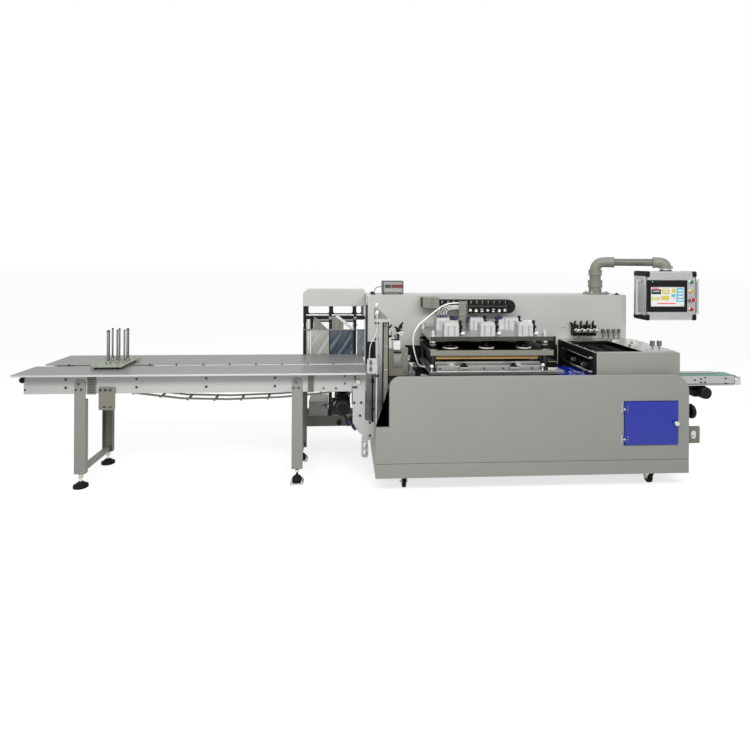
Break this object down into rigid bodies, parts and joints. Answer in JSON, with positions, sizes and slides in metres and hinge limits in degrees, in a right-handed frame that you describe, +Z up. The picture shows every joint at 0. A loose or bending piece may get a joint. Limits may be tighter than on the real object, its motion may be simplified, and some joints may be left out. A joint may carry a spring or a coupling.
{
  "type": "four-side seal packing machine",
  "caption": "Four-side seal packing line: chain infeed table, film unwind, traversing heated press, pull rollers, outfeed belt, lower cabinet with blue door, and swing-arm operator panel.",
  "frame": {"origin": "centre of the bounding box, on the floor", "axes": "+X along the product flow, +Z up, the operator stands on the -Y side"},
  "size_m": [5.126, 1.143, 1.585],
  "materials": {
    "panel_grey": "satin powder coat",
    "table_grey": "satin powder coat",
    "dark_frame": "satin",
    "steel": "brushed",
    "dark_steel": "blackened",
    "chrome": "polished",
    "aluminium": "anodised",
    "black_plastic": "matte",
    "grey_plastic": "matte",
    "white_plastic": "matte",
    "rubber": "matte",
    "blue_acrylic": "gloss",
    "pale_green": "matte",
    "tan_board": "matte",
    "green_belt": "satin",
    "film": "clear film"
  },
  "bodies": {
    "machine": {"front_cover": "panel_grey", "side_panels": "panel_grey", "base_frame": "dark_frame", "rear_cabinet": "panel_grey", "deck": "steel", "linear_rails": "steel", "door_hinges": "black_plastic", "chain_wall_bracket": "panel_grey", "air_hoses": "rubber", "infeed_rails": "panel_grey", "infeed_shafts": "dark_steel", "table_front": "table_grey", "table_back": "table_grey", "pusher_chain": "steel", "leg_frames": "panel_grey", "floor_feet": "rubber", "rail_brackets": "steel", "magazine_plate": "pale_green", "magazine_pins": "chrome", "infeed_motor": "dark_frame", "infeed_end_plates": "panel_grey", "film_frame": "dark_frame", "film_hood": "panel_grey", "film_rollers": "aluminium", "film_web": "film", "film_formers": "film", "guide_posts": "steel", "valve_unit": "panel_grey", "transport_frame": "dark_frame", "transport_rollers": "rubber", "transport_cover": "panel_grey", "transport_adjusters": "dark_steel", "guard_sheet": "blue_acrylic", "outfeed_frame": "panel_grey", "outfeed_belt": "green_belt", "outfeed_motor": "dark_frame", "outfeed_adjuster": "panel_grey", "counter_box": "dark_frame", "hmi_post": "grey_plastic"},
    "press": {"press_base": "steel", "press_columns": "chrome", "press_top": "steel", "press_cylinders": "aluminium", "drag_chain": "black_plastic", "main_hose": "white_plastic", "press_hoses": "white_plastic"},
    "platen": {"platen_plate": "dark_steel", "platen_pad": "tan_board"},
    "access_door": {"door_leaf": "blue_acrylic"},
    "hmi_arm": {"hmi_arm": "grey_plastic"},
    "hmi_box": {"hmi_box": "aluminium", "hmi_panel": "black_plastic"},
    "fork_fl": {"fork_fl": "chrome"},
    "wheel_fl": {"wheel_fl": "rubber"},
    "fork_fr": {"fork_fr": "chrome"},
    "wheel_fr": {"wheel_fr": "rubber"},
    "fork_rl": {"fork_rl": "chrome"},
    "wheel_rl": {"wheel_rl": "rubber"},
    "fork_rr": {"fork_rr": "chrome"},
    "wheel_rr": {"wheel_rr": "rubber"}
  },
  "joints": [
    {"name": "door_hinge", "type": "hinge", "parent": "machine", "child": "access_door", "pos_m": [1.547, -0.554, 0.445], "axis": [0, 0, -1], "range_deg": [0, 110]},
    {"name": "press_traverse", "type": "slide", "parent": "machine", "child": "press", "axis": [1, 0, 0], "range_m": [-0.05, 0.05], "deforming": ["drag_chain"]},
    {"name": "platen_slide", "type": "slide", "parent": "press", "child": "platen", "axis": [0, 0, -1], "range_m": [0, 0.015]},
    {"name": "arm_swing", "type": "hinge", "parent": "machine", "child": "hmi_arm", "pos_m": [1.733, 0.268, 1.408], "axis": [0, 0, 1], "range_deg": [-60, 45]},
    {"name": "panel_turn", "type": "hinge", "parent": "hmi_arm", "child": "hmi_box", "pos_m": [2.212, 0.058, 1.496], "axis": [0, 0, 1], "range_deg": [-90, 90]},
    {"name": "swivel_fl", "type": "hinge", "parent": "machine", "child": "fork_fl", "pos_m": [0.047, -0.472, 0.097], "axis": [0, 0, 1], "continuous": true},
    {"name": "spin_fl", "type": "hinge", "parent": "fork_fl", "child": "wheel_fl", "pos_m": [0.047, -0.444, 0.04], "axis": [1, 0, 0], "continuous": true},
    {"name": "swivel_fr", "type": "hinge", "parent": "machine", "child": "fork_fr", "pos_m": [1.777, -0.472, 0.097], "axis": [0, 0, 1], "continuous": true},
    {"name": "spin_fr", "type": "hinge", "parent": "fork_fr", "child": "wheel_fr", "pos_m": [1.777, -0.444, 0.04], "axis": [1, 0, 0], "continuous": true},
    {"name": "swivel_rl", "type": "hinge", "parent": "machine", "child": "fork_rl", "pos_m": [0.047, 0.338, 0.097], "axis": [0, 0, 1], "continuous": true},
    {"name": "spin_rl", "type": "hinge", "parent": "fork_rl", "child": "wheel_rl", "pos_m": [0.047, 0.366, 0.04], "axis": [1, 0, 0], "continuous": true},
    {"name": "swivel_rr", "type": "hinge", "parent": "machine", "child": "fork_rr", "pos_m": [1.777, 0.338, 0.097], "axis": [0, 0, 1], "continuous": true},
    {"name": "spin_rr", "type": "hinge", "parent": "fork_rr", "child": "wheel_rr", "pos_m": [1.777, 0.366, 0.04], "axis": [1, 0, 0], "continuous": true}
  ]
}
